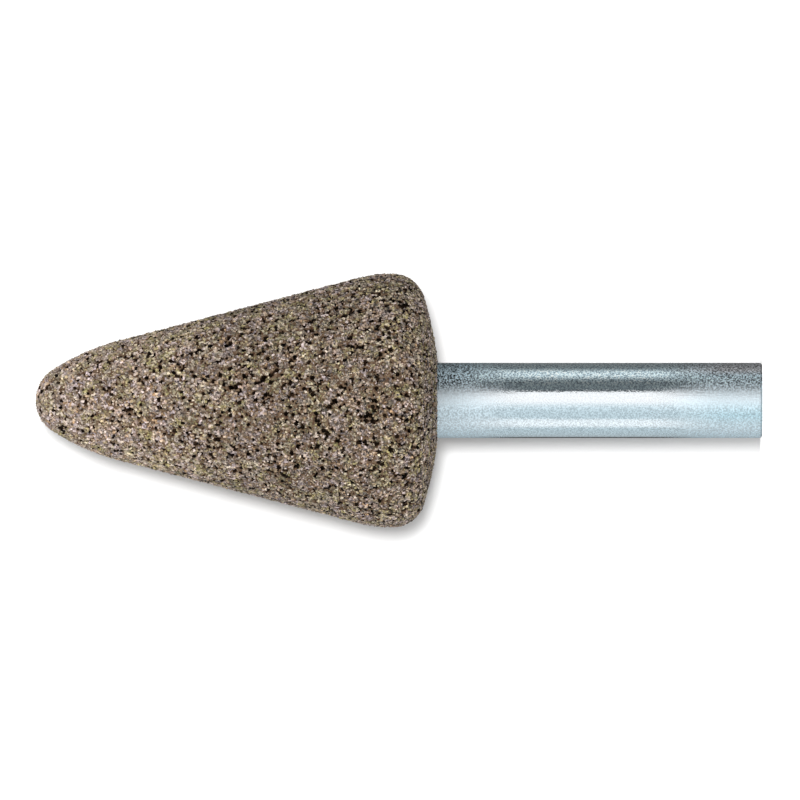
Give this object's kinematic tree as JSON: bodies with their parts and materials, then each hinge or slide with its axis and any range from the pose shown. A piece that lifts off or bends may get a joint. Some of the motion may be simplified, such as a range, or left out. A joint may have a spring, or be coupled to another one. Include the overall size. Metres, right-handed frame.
{
  "type": "mounted point",
  "caption": "Mounted point for hand grinding: a conical bonded-abrasive head with a rounded nose, moulded on the knurled end of a plain round steel shank.",
  "frame": {"origin": "centre of the shank's free end face, on which the part stands", "axes": "+Z along the axis of the shank and the head, from the shank's free end to the tip of the nose; X and Y are alike, because the part is turned about Z"},
  "size_m": [0.0202, 0.0202, 0.0579],
  "materials": {
    "abrasive": "matte",
    "steel": "satin"
  },
  "bodies": {
    "root": {"abrasive_head": "abrasive", "shank": "steel"}
  },
  "joints": []
}
